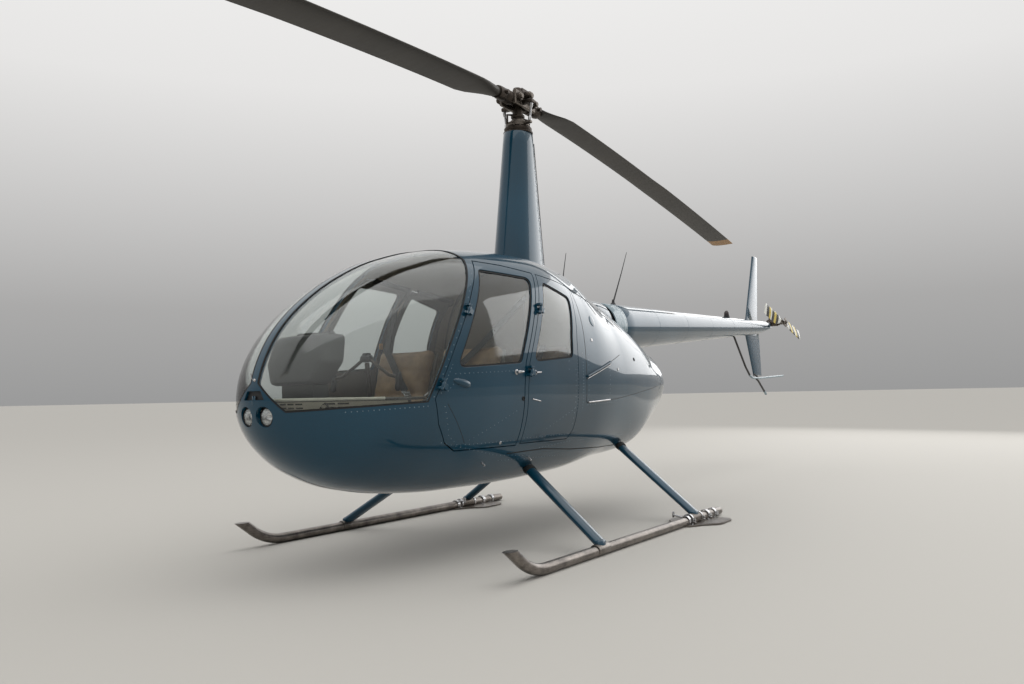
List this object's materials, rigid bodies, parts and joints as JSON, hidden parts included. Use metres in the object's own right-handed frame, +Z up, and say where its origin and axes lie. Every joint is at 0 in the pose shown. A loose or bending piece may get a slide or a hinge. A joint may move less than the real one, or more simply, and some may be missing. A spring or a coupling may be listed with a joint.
{
  "type": "helicopter",
  "caption": "Light cabin helicopter on skids, with a two-blade main rotor on a tall faired mast, hinged doors and a side-mounted tail rotor.",
  "frame": {"origin": "middle of the bounding box, at the ground under the skids", "axes": "+X forward to the nose, +Y to the left side, +Z up"},
  "size_m": [11.6609, 2.496, 3.28],
  "materials": {
    "paint": "glossy dark blue paint",
    "glazing": "clear acrylic sheet",
    "lining": "matt lining",
    "seat": "tan leather",
    "black_plastic": "satin dark grey",
    "engine_metal": "matt grey metal",
    "steel": "worn grey metal",
    "blade_paint": "matt dark grey paint",
    "bare_alloy": "worn bare alloy",
    "lamp": "clear lens"
  },
  "bodies": {
    "airframe": {"hull": "paint", "roof_frame": "paint", "windshield_left": "glazing", "windshield_right": "glazing", "roof_cowl": "paint", "engine_cowl_left": "paint", "engine_cowl_right": "paint", "belly_cowl": "paint", "firewall": "lining", "cabin_floor": "lining", "front_seat_left": "seat", "front_seat_right": "seat", "rear_seat": "seat", "instrument_console": "black_plastic", "control_stick": "black_plastic", "engine_block": "engine_metal", "mast_fairing": "paint", "mast_cap": "steel", "tail_boom": "paint", "fin_upper": "paint", "fin_lower": "paint", "stabilizer": "paint", "tail_gearbox": "black_plastic", "tail_guard": "paint", "skid_left": "bare_alloy", "skid_right": "bare_alloy", "leg_front": "paint", "leg_rear": "paint", "landing_light_left": "lamp", "landing_light_right": "lamp"},
    "main_rotor": {"rotor_shaft": "steel", "rotor_hub": "steel", "main_blade_front": "blade_paint", "main_blade_rear": "blade_paint"},
    "tail_rotor": {"tail_rotor_hub": "steel", "tail_blade_a": "blade_paint", "tail_blade_b": "blade_paint"},
    "front_left_door": {"door_front_left": "paint", "window_front_left": "glazing"},
    "front_right_door": {"door_front_right": "paint", "window_front_right": "glazing"},
    "rear_left_door": {"door_rear_left": "paint", "window_rear_left": "glazing"},
    "rear_right_door": {"door_rear_right": "paint", "window_rear_right": "glazing"}
  },
  "joints": [
    {"name": "main_rotor_spin", "type": "hinge", "parent": "airframe", "child": "main_rotor", "pos_m": [0.7989, 0, 2.9], "axis": [0, 0, 1], "continuous": true},
    {"name": "tail_rotor_spin", "type": "hinge", "parent": "airframe", "child": "tail_rotor", "pos_m": [-5.0911, 0.178, 1.838], "axis": [0, 1, 0], "continuous": true},
    {"name": "front_left_door_swing", "type": "hinge", "parent": "airframe", "child": "front_left_door", "pos_m": [2.4559, 0.583, 1.02], "axis": [0.4905, 0, -0.8715], "range_deg": [0, 70]},
    {"name": "front_right_door_swing", "type": "hinge", "parent": "airframe", "child": "front_right_door", "pos_m": [2.4559, -0.583, 1.02], "axis": [-0.4905, 0, 0.8715], "range_deg": [0, 70]},
    {"name": "rear_left_door_swing", "type": "hinge", "parent": "airframe", "child": "rear_left_door", "pos_m": [1.6799, 0.655, 1.1], "axis": [0.3364, 0.04, -0.9409], "range_deg": [0, 70]},
    {"name": "rear_right_door_swing", "type": "hinge", "parent": "airframe", "child": "rear_right_door", "pos_m": [1.6799, -0.655, 1.1], "axis": [-0.3364, 0.04, 0.9409], "range_deg": [0, 70]}
  ]
}
